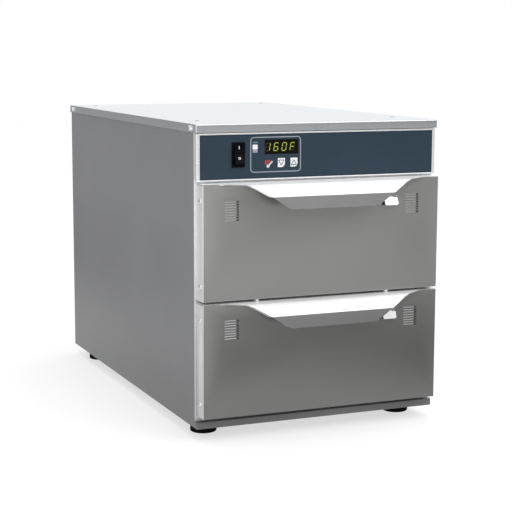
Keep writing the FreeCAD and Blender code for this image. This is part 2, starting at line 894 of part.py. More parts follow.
def elevation_trim(index):
    """Cutter beside the lip, seen from the front."""
    lip_top = front_bottom(index) + front_height - pull_drop
    _, _, lower, lip_end = pull_edges()
    low = lip_top - pull_lip
    tangent = lip_end - pull_lip_half_width
    angle = pull_angle()
    arc_start = V(lip_end + tangent * math.cos(angle), 0, low + tangent * math.sin(angle))
    centre = V(pull_lip_half_width, 0, low + pull_end_radius)
    halfway = centre + V(pull_end_radius * math.sin(angle / 2), 0,
                         -pull_end_radius * math.cos(angle / 2))
    far = front_half + pull_root_radius
    points = [V(pull_lip_half_width, 0, low - pull_lip), V(far, 0, low - pull_lip),
              V(far, 0, lip_top), V(lower, 0, lip_top), arc_start]
    edges = [Part.makeLine(a, b) for a, b in zip(points, points[1:])]
    lip_corner = V(pull_lip_half_width, 0, low)
    edges.append(Part.Arc(arc_start, halfway, lip_corner).toShape())
    edges.append(Part.makeLine(lip_corner, points[0]))
    cutter = Part.Face(Part.Wire(edges)).extrude(V(0, 4 * pull_sheet, 0))
    cutter.translate(V(0, lip_y - pull_sheet, 0))
    return cutter


def pull(index):
    """Top sheet of a front, which runs forward into the hooded finger pull."""
    top = front_bottom(index) + front_height
    sheet = prism(pull_profile(index), V(2 * front_half, 0, 0))
    sheet.translate(V(-front_half, 0, 0))
    bend_y = face_y - pull_flat
    slope = math.atan2(pull_drop, pull_reach - pull_flat)
    inner_y = bend_y + pull_sheet * math.tan(slope / 2)
    for radius, y, z in ((pull_shoulder, bend_y, top),
                         (pull_shoulder - pull_sheet, inner_y, top - pull_sheet),
                         (pull_bend, lip_y, top - pull_drop)):
        bend = [e for e in sheet.Edges if along(e, X_AXIS) and abs(middle(e).y - y) < 1e-6
                and abs(middle(e).z - z) < 1e-6]
        sheet = sheet.makeFillet(radius, bend)
    for cutter in (plan_trim(index), elevation_trim(index)):
        sheet = sheet.cut([cutter, mirrored(cutter)])
    low = top - pull_drop - pull_lip
    hem = slab(pull_lip_half_width, lip_y + pull_sheet, lip_y + 2 * pull_sheet + hem_gap, low,
               low + hem_height)
    slit = slab(pull_lip_half_width + 1, lip_y + pull_sheet, lip_y + pull_sheet + hem_gap,
                low + pull_sheet, low + hem_height + 1)
    sheet = sheet.fuse(hem.cut(slit)).removeSplitter()
    return round_edges(sheet, front_bend, lambda e: along(e, Z_AXIS)
                       and abs(abs(middle(e).x) - front_half) < 1e-6
                       and abs(middle(e).y - face_y) < 1e-6)


def air_holes(index, y0, y1):
    """Cutters for the air holes opposite the vents."""
    high = front_bottom(index) + front_height - vent_drop + vent_pitch
    return [block(side * vent_centre_x - vent_width / 2, side * vent_centre_x + vent_width / 2,
                  y0, y1, high - air_hole_height, high) for side in (-1, 1)]


def inner_panel_span(index):
    """Lower and upper edge of the inner panel."""
    low = front_bottom(index) + skin + touch
    high = front_bottom(index) + front_height - pull_sheet - skin - touch
    return low, high


def inner_panel(index):
    """Back sheet of a drawer front, flanged at its ends, with air holes for the vents."""
    low, high = inner_panel_span(index)
    y1 = -inner_panel_inset
    y0 = y1 - skin
    half = front_half - skin - touch
    plate = slab(half, y0, y1, low, high)
    flange = block(half - skin, half, -side_screw_back - 2 * side_screw_head, y0,
                   low + front_bend, high - front_bend)
    plate = plate.fuse([flange, mirrored(flange)]).removeSplitter()
    for side, point in side_screw_places(index):
        plate = plate.cut(drill(point, X_AXIS, side_screw_shank + screw_play, 2 * screw_length))
    return plate.cut(air_holes(index, y0 - 1, y1 + 1))


def gasket(index):
    """Seal between a drawer front and the stiles and rails."""
    low, high = inner_panel_span(index)
    y0 = -inner_panel_inset
    y1 = -gasket_seat_gap
    outer = slab(opening_half + gasket_width, y0, y1, low + gasket_margin, high - gasket_margin)
    inner = slab(opening_half, y0 - 1, y1 + 1, opening_low(index), opening_high(index))
    return ring(outer, inner)


def side_screws(index):
    return [domed_pin(point, V(side, 0, 0), side_screw_head, side_screw_rise,
                      side_screw_shank, screw_length * 0.7)
            for side, point in side_screw_places(index)]


def front_buffers(index):
    """Small pale buffers under a front, in the gap above the front below it."""
    low = front_bottom(index)
    y0 = face_y + buffer_setback
    shape = block(buffer_from_middle - buffer_width / 2, buffer_from_middle + buffer_width / 2,
                  y0, y0 + buffer_depth, low - buffer_height, low)
    return both_sides(shape)


# ---------------------------------------------------------------- vent shutter
def shutter_left():
    return -vent_centre_x - vent_width / 2 - shutter_left_margin


def shutter_right():
    return vent_centre_x + shutter_vent_offset + vent_width / 2 + shutter_right_margin


def shutter_edges(z_top):
    high = z_top - vent_drop + shutter_edge_margin
    low = z_top - vent_drop - (vent_count - 1) * vent_pitch - shutter_edge_margin
    return low, high


def vent_shutter(index):
    """Sliding plate behind the face, worked by a tab that leans out of its window."""
    top = front_bottom(index) + front_height
    low, high = shutter_edges(top)
    y0 = face_y + skin + shutter_clearance
    y1 = y0 + shutter_sheet
    plate = block(shutter_left(), shutter_right(), y0, y1, low, high)
    plate = plate.cut(vent_slots(top, shutter_vent_offset, y0 - 1, y1 + 1))
    tab_top = top - tab_drop
    tab_low = tab_top - tab_height
    lance = block(tab_left - tab_corner, tab_left + tab_width, y0 - 1, y1 + 1,
                  tab_low, tab_top - shutter_sheet)
    plate = plate.cut(lance)
    return plate.fuse([tab_neck(tab_top, y1), tab_plate(tab_top)]).removeSplitter()


def tab_profile(tab_top, y_back):
    """Side outline of the bent tab, from the shutter's plate to its free edge."""
    bend_y = face_y - tab_reach
    free_y = bend_y - tab_lean
    tab_low = tab_top - tab_height
    return [V(0, y_back, tab_top), V(0, bend_y, tab_top), V(0, free_y, tab_low),
            V(0, free_y + shutter_sheet, tab_low),
            V(0, bend_y + shutter_sheet, tab_top - shutter_sheet),
            V(0, y_back, tab_top - shutter_sheet)]


def tab_neck(tab_top, y_back):
    """Narrow strip through the window, with the tab's bend."""
    strip = prism(tab_profile(tab_top, y_back), V(tab_neck_width, 0, 0))
    strip.translate(V(tab_left + (tab_width - tab_neck_width) / 2, 0, 0))
    bend = [e for e in strip.Edges if along(e, X_AXIS)
            and abs(middle(e).y - face_y + tab_reach) < 1e-6]
    return strip.makeFillet(tab_bend, bend)


def tab_plate(tab_top):
    """Finger plate below the bend, with four rounded corners."""
    plate = prism(tab_profile(tab_top, face_y), V(tab_width, 0, 0))
    plate.translate(V(tab_left, 0, 0))
    front = face_y - tab_reach - tab_lean
    shape = block(tab_left, tab_left + tab_width, front, face_y, tab_top - tab_height,
                  tab_top - tab_bend)
    shape = round_edges(shape, tab_corner, lambda e: along(e, Y_AXIS))
    return plate.common(shape)


def shutter_guides(index):
    """Two folded strips that hold the shutter against the face."""
    top = front_bottom(index) + front_height
    low, high = shutter_edges(top)
    y0 = face_y + skin
    y1 = y0 + shutter_sheet + 2 * shutter_clearance
    span = shutter_right()
    guides = []
    for edge, outward in ((low, -1), (high, 1)):
        foot_in = edge + outward * shutter_clearance
        foot_out = foot_in + outward * guide_lap
        foot = slab(span, y0, y1 + guide_sheet, min(foot_in, foot_out), max(foot_in, foot_out))
        lap_end = edge - outward * guide_lap * 0.6
        lap = slab(span, y1, y1 + guide_sheet, min(foot_in, lap_end), max(foot_in, lap_end))
        guides.append(foot.fuse(lap).removeSplitter())
    return guides


# ---------------------------------------------------------------- control panel
def panel_half():
    return half_width - panel_side_reveal


def panel_middle():
    return (panel_bottom + panel_top) / 2


def panel_left():
    return -panel_half()


def overlay_front():
    return -panel_reach - overlay_thickness


def rect(centre_x, centre_z, width, height, y0, y1):
    """Upright plate with its front at y0 and its back at y1."""
    return block(centre_x - width / 2, centre_x + width / 2, y0, y1,
                 centre_z - height / 2, centre_z + height / 2)


def switch_centre():
    return panel_left() + switch_from_left, panel_middle() + switch_up


def controller_centre():
    return panel_left() + controller_from_left, panel_middle() + controller_up


def window_centre():
    x, z = controller_centre()
    return x + window_right, z + window_up


def key_centre(offset):
    x, z = controller_centre()
    return x + offset, z - key_drop


def indicator_centre():
    x, z = controller_centre()
    return x - indicator_left, z + indicator_up


def switch_hole(grow, y0, y1):
    """Block of the switch body's outline, grown on every side."""
    x, z = switch_centre()
    return rect(x, z, switch_width - 2 * switch_lip + 2 * grow,
                switch_height - 2 * switch_lip + 2 * grow, y0, y1)


def control_cutters(y0, y1):
    """Openings for the switch, the window, the lamp and the two keys."""
    cutters = [switch_hole(touch, y0, y1)]
    x, z = window_centre()
    cutters.append(rect(x, z, window_width + 2 * touch, window_height + 2 * touch, y0, y1))
    x, z = indicator_centre()
    cutters.append(rect(x, z, indicator_width + 2 * touch, indicator_height + 2 * touch, y0, y1))
    for offset in (key_down_x, key_up_x):
        x, z = key_centre(offset)
        cutters.append(rect(x, z, key_width + 2 * key_clearance, key_height + 2 * key_clearance,
                            y0, y1))
    return cutters


def control_panel():
    """Formed plate that carries the controls, with a rounded rim all round."""
    outer = slab(panel_half(), -panel_reach, 0, panel_bottom, panel_top)
    outer = round_edges(outer, panel_corner, lambda e: along(e, Y_AXIS))
    outer = round_edges(outer, panel_bend, lambda e: abs(middle(e).y + panel_reach) < 1e-6)
    inner = slab(panel_half() - skin, skin - panel_reach, 1, panel_bottom + skin,
                 panel_top - skin)
    inner = round_edges(inner, panel_corner - skin, lambda e: along(e, Y_AXIS))
    plate = outer.cut(inner).fuse(board_pillars()).removeSplitter()
    return plate.cut(control_cutters(-panel_reach - 1, -panel_reach + 3 * skin))


def panel_overlay():
    """Printed film that fills the flat of the control panel."""
    film = slab(panel_half() - overlay_side_margin, overlay_front(), -panel_reach,
                panel_bottom + overlay_bottom_margin, panel_top - overlay_top_margin)
    film = round_edges(film, overlay_corner, lambda e: along(e, Y_AXIS))
    return film.cut(control_cutters(overlay_front() - 1, 0))


def controller_trim():
    """Pale line round the controller."""
    x, z = controller_centre()
    y1 = overlay_front()
    y0 = y1 - print_thickness
    outer = rect(x, z, controller_width, controller_height, y0, y1)
    outer = round_edges(outer, controller_corner, lambda e: along(e, Y_AXIS))
    inner = rect(x, z, controller_width - 2 * controller_line,
                 controller_height - 2 * controller_line, y0 - 1, y1 + 1)
    inner = round_edges(inner, controller_corner - controller_line, lambda e: along(e, Y_AXIS))
    return ring(outer, inner)


def rocker_pivot():
    x, z = switch_centre()
    return V(x, overlay_front(), z)


def pocket_half_height():
    return switch_height / 2 - switch_lip - switch_wall


def pocket_half_width():
    return switch_width / 2 - switch_lip - switch_wall


def rocker_half_height():
    return pocket_half_height() - rocker_clearance


def rocker_width():
    return 2 * (pocket_half_width() - rocker_side_clearance)


def switch_housing():
    """Bezel and body of the power switch, with a pocket that the rocker swings in."""
    x, z = switch_centre()
    y1 = overlay_front()
    bezel = rect(x, z, switch_width, switch_height, y1 - switch_bezel, y1)
    front_edges = [e for e in bezel.Edges if abs(middle(e).y - y1 + switch_bezel) < 1e-6
                   or along(e, Y_AXIS)]
    bezel = bezel.makeFillet(switch_bezel * 0.35, front_edges)
    body = bezel.fuse(switch_hole(0, y1, y1 + switch_body_depth))
    swing_room = rocker_half_height() * math.sin(math.radians(rocker_swing))
    pocket = rect(x, z, 2 * pocket_half_width(), 2 * pocket_half_height(),
                  y1 - switch_bezel - 1, y1 + rocker_back + swing_room + rocker_clearance)
    reach = pocket_half_width() + switch_wall * 0.7
    pins = Part.makeCylinder(rocker_pin_radius + rocker_pin_play, 2 * reach,
                             rocker_pivot() - V(reach, 0, 0), X_AXIS)
    return body.cut([pocket, pins]).removeSplitter()


def rocker():
    """Rocker with a shallow valley, held with its upper end pressed in."""
    pivot = rocker_pivot()
    half = rocker_half_height()
    rise = half * math.tan(math.radians(rocker_swing))
    points = [V(0, -rocker_valley, 0), V(0, -rocker_valley - rise, half),
              V(0, rocker_back, half), V(0, rocker_back, -half),
              V(0, -rocker_valley - rise, -half)]
    width = rocker_width()
    solid = prism(points, V(width, 0, 0))
    solid.translate(V(-width / 2, 0, 0))
    drum = Part.makeCylinder(half, width, V(-width / 2, 0, 0), X_AXIS)
    solid = solid.common(drum)
    pin_length = 2 * pocket_half_width() + switch_wall
    solid = solid.fuse(Part.makeCylinder(rocker_pin_radius, pin_length,
                                         V(-pin_length / 2, 0, 0), X_AXIS))
    solid.rotate(V(0, 0, 0), X_AXIS, -rocker_swing)
    solid.translate(pivot)
    return solid


def display_window():
    x, z = window_centre()
    return rect(x, z, window_width, window_height, overlay_front() - print_thickness,
                overlay_front() - print_thickness + window_thickness)


def segment_points(name):
    """Outline of one segment of an upright digit, as x and z fractions of its box."""
    w = digit_width
    h = digit_height
    t = segment_width
    g = segment_gap
    half = h / 2
    bars = {"a": h - t / 2, "g": half, "d": t / 2}
    posts = {"f": (t / 2, half, h), "b": (w - t / 2, half, h), "e": (t / 2, 0, half),
             "c": (w - t / 2, 0, half)}
    if name in bars:
        z = bars[name]
        return [(t / 2 + g, z), (t + g, z + t / 2), (w - t - g, z + t / 2), (w - t / 2 - g, z),
                (w - t - g, z - t / 2), (t + g, z - t / 2)]
    x, low, high = posts[name]
    low = low + (t / 2 if low == 0 else 0) + g
    high = high - (t / 2 if high == h else 0) - g
    return [(x, low), (x + t / 2, low + t / 2), (x + t / 2, high - t / 2), (x, high),
            (x - t / 2, high - t / 2), (x - t / 2, low + t / 2)]


def display_digits():
    """Lit segments that show 160F."""
    lit = ("bc", "acdefg", "abcdef", "aefg")
    x, z = window_centre()
    y1 = overlay_front() - print_thickness
    total = digit_pitch * (len(lit) - 1) + digit_width
    lean = math.tan(math.radians(digit_slant))
    shapes = []
    for place, names in enumerate(lit):
        left = x - total / 2 - digits_left_of_middle + place * digit_pitch
        base = z - digit_height / 2
        for name in names:
            points = [V(left + px + (pz - digit_height / 2) * lean, y1, base + pz)
                      for px, pz in segment_points(name)]
            shapes.append(prism(points, V(0, -print_thickness, 0)))
    return shapes


def indicator_lamp():
    x, z = indicator_centre()
    y1 = overlay_front()
    lens = rect(x, z, indicator_width, indicator_height, y1 - 2 * print_thickness,
                -panel_reach + skin)
    return round_edges(lens, print_thickness, lambda e: abs(middle(e).y - y1
                                                            + 2 * print_thickness) < 1e-6)


def key(offset):
    """Push key with one round corner and a stem that reaches its switch."""
    x, z = key_centre(offset)
    y0 = overlay_front() - key_rise
    cap = rect(x, z, key_width, key_height, y0, -panel_reach + 2 * skin)
    cap = round_edges(cap, key_corner, lambda e: along(e, Y_AXIS)
                      and middle(e).x > x and middle(e).z < z)
    stem = rect(x, z, key_stem, key_stem, -panel_reach + 2 * skin,
                -panel_reach + 2 * skin + key_stem_length)
    return cap.fuse(stem).removeSplitter()


def board_front():
    return -panel_reach + 2 * skin + key_stem_length + key_travel + key_clearance + 4 * skin


def controller_board():
    """Board with the display block and the small switches behind the keys."""
    x, z = controller_centre()
    y0 = board_front()
    board = rect(x, z, board_width, board_height, y0, y0 + board_thickness)
    wx, wz = window_centre()
    front = overlay_front() - print_thickness + window_thickness + touch
    pieces = [rect(wx, wz, window_width - 4 * skin, window_height - 4 * skin, front, y0)]
    for offset in (key_down_x, key_up_x):
        kx, kz = key_centre(offset)
        pieces.append(rect(kx, kz, key_stem * 1.2, key_stem * 1.2, y0 - 4 * skin, y0))
    return board.fuse(pieces).removeSplitter()


def board_pillars():
    """Pillars that carry the board on the back of the control panel."""
    x, z = controller_centre()
    dx = board_width / 2 - 2 * pillar_radius
    dz = board_height / 2 - 1.2 * pillar_radius
    start = -panel_reach + skin
    return [Part.makeCylinder(pillar_radius, board_front() - start, V(x + i * dx, start, z + j * dz),
                              Y_AXIS) for i, j in ((-1, -1), (-1, 1), (1, -1), (1, 1))]


def heat_symbol():
    """Printed mark: a coloured quarter disc behind a small thermometer."""
    x, z = controller_centre()
    corner = V(x - symbol_left, overlay_front() - print_thickness, z - symbol_drop)
    right = corner + V(symbol_width, 0, 0)
    below = corner - V(0, 0, symbol_height)
    bulge = corner + V(symbol_width, 0, -symbol_height).multiply(math.sqrt(0.5))
    outline = Part.Wire([Part.makeLine(corner, right), Part.Arc(right, bulge, below).toShape(),
                         Part.makeLine(below, corner)])
    return Part.Face(outline).extrude(V(0, print_thickness, 0))


def thermometer_mark():
    """Printed mark: bulb and stem of a thermometer, drawn on the slant."""
    x, z = controller_centre()
    y0 = overlay_front() - 2 * print_thickness
    bulb_at = V(x - thermometer_x, y0, z - thermometer_drop)
    bulb = Part.makeCylinder(thermometer_bulb, print_thickness, bulb_at, Y_AXIS)
    stem = block(0, thermometer_length, 0, print_thickness, -thermometer_bulb * 0.45,
                 thermometer_bulb * 0.45)
    stem.rotate(V(0, 0, 0), Y_AXIS, -45)
    stem.translate(bulb_at)
    return bulb.fuse(stem).removeSplitter()


# ---------------------------------------------------------------- electrical pieces
def transformer():
    """Control transformer: laminated core with a coil through it."""
    y0 = cabinet_depth / 4
    x0 = -half_width / 3
    core = block(x0, x0 + transformer_size, y0, y0 + transformer_size * 0.5, shelf_top,
                 shelf_top + transformer_height)
    coil = block(x0 + transformer_size * 0.22, x0 + transformer_size * 0.78,
                 y0 - transformer_size * 0.2, y0 + transformer_size * 0.7,
                 shelf_top, shelf_top + transformer_height * 0.78)
    coil = round_edges(coil, transformer_size * 0.06, lambda e: along(e, Z_AXIS))
    return core.fuse(coil).removeSplitter()


def terminal_block():
    """Row of terminals on the shelf near the gland."""
    length = terminal_pole * terminal_poles
    x0 = half_width - gland_from_side - length
    y0 = cabinet_depth - cavity_rear_space
    body = block(x0, x0 + length, y0, y0 + 2 * terminal_pole, shelf_top,
                 shelf_top + terminal_height)
    for k in range(terminal_poles):
        x = x0 + (k + 0.5) * terminal_pole
        for y in (y0 + terminal_pole * 0.5, y0 + terminal_pole * 1.5):
            body = body.cut(Part.makeCylinder(terminal_pole * 0.3, terminal_height,
                                              V(x, y, shelf_top + terminal_height * 0.6)))
    return body


def gland_point():
    return V(half_width - gland_from_side, cabinet_depth, shelf_bottom + gland_up)


def cord_gland():
    """Strain relief for the supply cord, with its flange outside and its nut inside."""
    point = gland_point()
    outside = point + V(0, skin, 0)
    flange = Part.makeCylinder(gland_flange_radius, skin * 2, outside, Y_AXIS)
    nose = Part.makeCone(gland_body_radius, gland_body_radius * 0.75, gland_reach - skin,
                         outside, Y_AXIS)
    body = Part.makeCylinder(gland_body_radius, 10 * skin, outside - V(0, 10 * skin, 0), Y_AXIS)
    nut = Part.makeCylinder(gland_flange_radius, 4 * skin, point - V(0, 4 * skin, 0), Y_AXIS)
    gland = flange.fuse([nose, body, nut])
    return gland.cut(drill(point, Y_AXIS, gland_bore, 80 * skin)).removeSplitter()


# ---------------------------------------------------------------- nodes
os.makedirs("parts", exist_ok=True)

export("base_pan", base_pan())
export("right_side_panel", side_panel())
export("left_side_panel", mirrored(side_panel()))
export("back_panel", back_panel())
export("top_cover", top_cover())
export("cover_screws", *cover_screws())
export("cover_plugs", *cover_plugs())
export("rear_screws", *rear_screws())
export("feet", *feet())
export("foot_screws", *foot_screws())
export("front_rails", front_rail(strip_top, opening_low(0)),
       front_rail(opening_high(0), opening_low(1)), front_rail(opening_high(1), shelf_top))
export("cavity_floor", cavity_floor())
export("cavity_shell", cavity_shell())
export("drawer_divider", drawer_divider())
export("insulation", *both_sides(side_insulation()), rear_insulation(), base_insulation(),
       top_insulation())
export("control_shelf", control_shelf())
export("heating_cable", heating_cable())
export("cable_straps", *cable_straps())
export("temperature_sensor", temperature_sensor())
export("transformer", transformer())
export("terminal_block", terminal_block())
export("cord_gland", cord_gland())
export("slide_brackets", *slide_brackets(0), *slide_brackets(1))
export("slide_outer_members", *both_sides(slide_outer(0)), *both_sides(slide_outer(1)))

for number, drawer in enumerate(drawer_names):
    export(drawer + "_slide_middle", *both_sides(slide_middle(number)))
    export(drawer + "_slide_inner", *both_sides(slide_inner(number)))
    export(drawer + "_front_panel", front_panel(number))
    export(drawer + "_pull", pull(number))
    export(drawer + "_inner_panel", inner_panel(number))
    export(drawer + "_gasket", gasket(number))
    export(drawer + "_side_screws", *side_screws(number))
    export(drawer + "_pan_carrier", pan_carrier(number))
    export(drawer + "_food_pan", food_pan(number))
    export(drawer + "_vent_shutter", vent_shutter(number))
    export(drawer + "_shutter_guides", *shutter_guides(number))

export("upper_front_buffers", *front_buffers(1))
export("control_panel", control_panel())
export("panel_overlay", panel_overlay())
export("controller_trim", controller_trim())
export("controller_board", controller_board())
export("switch_housing", switch_housing())
export("rocker", rocker())
export("display_window", display_window())
export("display_digits", *display_digits())
export("indicator_lamp", indicator_lamp())
export("heat_symbol", heat_symbol())
export("thermometer_mark", thermometer_mark())
export("key_down", key(key_down_x))
export("key_up", key(key_up_x))
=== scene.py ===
import json
import math

import bpy
from mathutils import Matrix, Vector


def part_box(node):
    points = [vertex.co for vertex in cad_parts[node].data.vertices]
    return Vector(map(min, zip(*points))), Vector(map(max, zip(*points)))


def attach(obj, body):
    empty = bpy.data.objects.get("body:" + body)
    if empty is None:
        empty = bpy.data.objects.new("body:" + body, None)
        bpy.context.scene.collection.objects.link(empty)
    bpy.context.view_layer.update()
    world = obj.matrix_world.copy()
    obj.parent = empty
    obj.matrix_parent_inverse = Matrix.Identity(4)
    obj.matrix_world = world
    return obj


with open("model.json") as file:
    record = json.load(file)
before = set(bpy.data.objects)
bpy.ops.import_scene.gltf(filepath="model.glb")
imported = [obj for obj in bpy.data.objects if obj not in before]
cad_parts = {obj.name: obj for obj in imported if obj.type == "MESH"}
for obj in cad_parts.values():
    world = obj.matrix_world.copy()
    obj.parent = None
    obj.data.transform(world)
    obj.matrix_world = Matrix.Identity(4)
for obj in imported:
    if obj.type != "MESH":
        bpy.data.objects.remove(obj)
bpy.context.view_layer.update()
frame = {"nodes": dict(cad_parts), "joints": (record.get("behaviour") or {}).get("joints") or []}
nodes = frame["nodes"]

# Camera of the photograph: turn, tilt and roll in radians, place in metres, lens in mm.
CAMERA_YAW, CAMERA_PITCH, CAMERA_ROLL = 0.39860, 0.149073, 0.003052
CAMERA_PLACE = (-0.97665, -2.39094, 0.62878)
LENS_MM, SENSOR_MM = 100.0, 36.0

# Tones of the studio, where 1 is white.
FLOOR_TONE = 0.42          # floor paper, everywhere
FLOOR_VARIATION = -0.02    # added to it by a broad noise
FLOOR_GLOW = 0.63          # light of the floor where the main picture shows it
CEILING_TONE = 0.9
FRONT_TONE = 0.76          # on the camera's side of the part
FAR_RIGHT_TONE = 0.22
BEYOND_TONE = 0.32         # past the part, left of the white backdrop

# Soft steps between those tones, over one part of a direction: ahead of the camera, to its
# right, or up.
FAR_RIGHT_STEP = (0.45, 0.95)
BEYOND_STEP = (-0.2, 0.5)
BACKDROP_STEP = (0.55, 0.8)
BACKDROP_LEFT_STEP = (-0.62, -0.3)
CEILING_STEP = (0.15, 0.6)

# Glow of the floor, in metres ahead and aside of the part.
GLOW_NEAR_STEP = (-1.15, -0.75)
GLOW_HALF_WIDTH = 0.50     # beside the part
GLOW_WIDENING = 0.19       # more half width for each metre ahead
GLOW_SIDE_STEP = (0.0, 0.4)

# How far noise moves the tone of a material, from end to end, and then its roughness.
STEEL_FINE, STEEL_BROAD = 0.014, 0.016
METAL_SPANGLE, METAL_BROAD = 0.10, 0.08
STEEL_SMUDGE_GLOSS, STEEL_FINE_GLOSS = 0.05, 0.06
METAL_GLOSS, PLASTIC_GLOSS = 0.2, 0.16

WORN_EDGE_TONE = 0.10              # added on worn edges
WORN_EDGE_STEP = (0.53, 0.60)      # pointiness where wear begins and is full
# Painted light: faces that look along an axis get a paler tone from this cosine on, standing in for
# the light that falls on them.
PAINTED_LIGHT_STEP = (0.25, 0.5)     # cosine between the way a face looks and the axis
BUMP_DEPTH = 0.0002                # metres
STEEL_BUMP, METAL_BUMP = 0.018, 0.08
NO_TINT = (1.0, 1.0, 1.0)


# ------------------------------------------------------------------ camera
def add_camera():
    """100 mm lens at the photograph's place, 22.8 degrees to the left and 8.5 degrees above."""
    yaw, pitch, roll = CAMERA_YAW, CAMERA_PITCH, CAMERA_ROLL
    forward = Vector((math.sin(yaw) * math.cos(pitch), math.cos(yaw) * math.cos(pitch),
                      -math.sin(pitch)))
    right = Vector((math.cos(yaw), -math.sin(yaw), 0))
    up = right.cross(forward)
    turned_right = right * math.cos(roll) + up * math.sin(roll)
    turned_up = up * math.cos(roll) - right * math.sin(roll)
    data = bpy.data.cameras.new("camera")
    data.lens = LENS_MM
    data.sensor_width = SENSOR_MM
    camera = bpy.data.objects.new("camera", data)
    bpy.context.scene.collection.objects.link(camera)
    matrix = Matrix((turned_right, turned_up, -forward)).transposed().to_4x4()
    matrix.translation = Vector(CAMERA_PLACE)
    camera.matrix_world = matrix
    bpy.context.scene.camera = camera


# ------------------------------------------------------------------ node helpers
class Tree:
    """Small helper that adds and links shader nodes."""

    def __init__(self, tree):
        self.tree = tree
        self.links = tree.links

    def add(self, kind, **values):
        """New node; inputs holds the values or links of its sockets."""
        node = self.tree.nodes.new("ShaderNode" + kind)
        inputs = values.pop("inputs", {})
        for name, value in values.items():
            setattr(node, name, value)
        for name, value in inputs.items():
            self.put(value, node.inputs[name])
        return node

    def put(self, value, socket):
        if isinstance(value, bpy.types.NodeSocket):
            self.links.new(value, socket)
        else:
            socket.default_value = value

    def math(self, operation, *values, clamp=False):
        node = self.add("Math", operation=operation, use_clamp=clamp)
        for number, value in enumerate(values):
            self.put(value, node.inputs[number])
        return node.outputs[0]

    def mix(self, factor, first, second):
        node = self.add("Mix", data_type="RGBA")
        self.put(factor, node.inputs[0])
        self.put(first, node.inputs[6])
        self.put(second, node.inputs[7])
        return node.outputs[2]

    def mix_value(self, factor, first, second):
        node = self.add("Mix", data_type="FLOAT")
        for number, value in enumerate((factor, first, second)):
            self.put(value, node.inputs[(0, 2, 3)[number]])
        return node.outputs[0]

    def ramp(self, value, low, high, out_low=0.0, out_high=1.0):
        """Smooth step from out_low at low to out_high at high."""
        node = self.add("MapRange", interpolation_type="SMOOTHSTEP")
        for name, number in (("Value", value), ("From Min", low), ("From Max", high),
                             ("To Min", out_low), ("To Max", out_high)):
            self.put(number, node.inputs[name])
        return node.outputs[0]

    def vary(self, level, noise, amount, clamp=False):
        """Level moved up and down by a noise round 0.5."""
        return self.math("MULTIPLY_ADD", self.math("SUBTRACT", noise, 0.5), amount, level,
                         clamp=clamp)

    def tinted(self, level, tint):
        """Grey level as a colour, each channel times its share."""
        parts = {name: self.math("MULTIPLY", level, share)
                 for name, share in zip(("Red", "Green", "Blue"), tint)}
        return self.add("CombineColor", inputs=parts).outputs[0]

    def surface(self, shader, colour, gloss, height, strength):
        """Link colour, roughness and a bump from the height."""
        bump = self.add("Bump", inputs={"Strength": strength, "Distance": BUMP_DEPTH,
                                        "Height": height})
        self.put(colour, shader.inputs["Base Color"])
        self.put(gloss, shader.inputs["Roughness"])
        self.put(bump.outputs[0], shader.inputs["Normal"])

    def noise(self, vector, scale, detail=3.0, rough=0.5):
        node = self.add("TexNoise", inputs={"Vector": vector, "Scale": scale, "Detail": detail,
                                            "Roughness": rough})
        return node.outputs["Fac"]

    def lines(self, vector, axis, along, across, detail, rough):
        """Noise drawn out into lines along one axis."""
        scale = [along if letter == axis else across for letter in "xyz"]
        mapped = self.add("Mapping", inputs={"Vector": vector, "Scale": scale}).outputs[0]
        return self.noise(mapped, 1.0, detail, rough)

    def place(self):
        return self.add("TexCoord").outputs["Object"]


def new_material(name):
    material = bpy.data.materials.new(name)
    material.use_nodes = True
    tree = Tree(material.node_tree)
    shader = material.node_tree.nodes["Principled BSDF"]
    return material, tree, shader


def grey(value):
    return (value, value, value, 1.0)


def assign(material, *names):
    for name in names:
        for slot in nodes[name].material_slots:
            slot.material = material


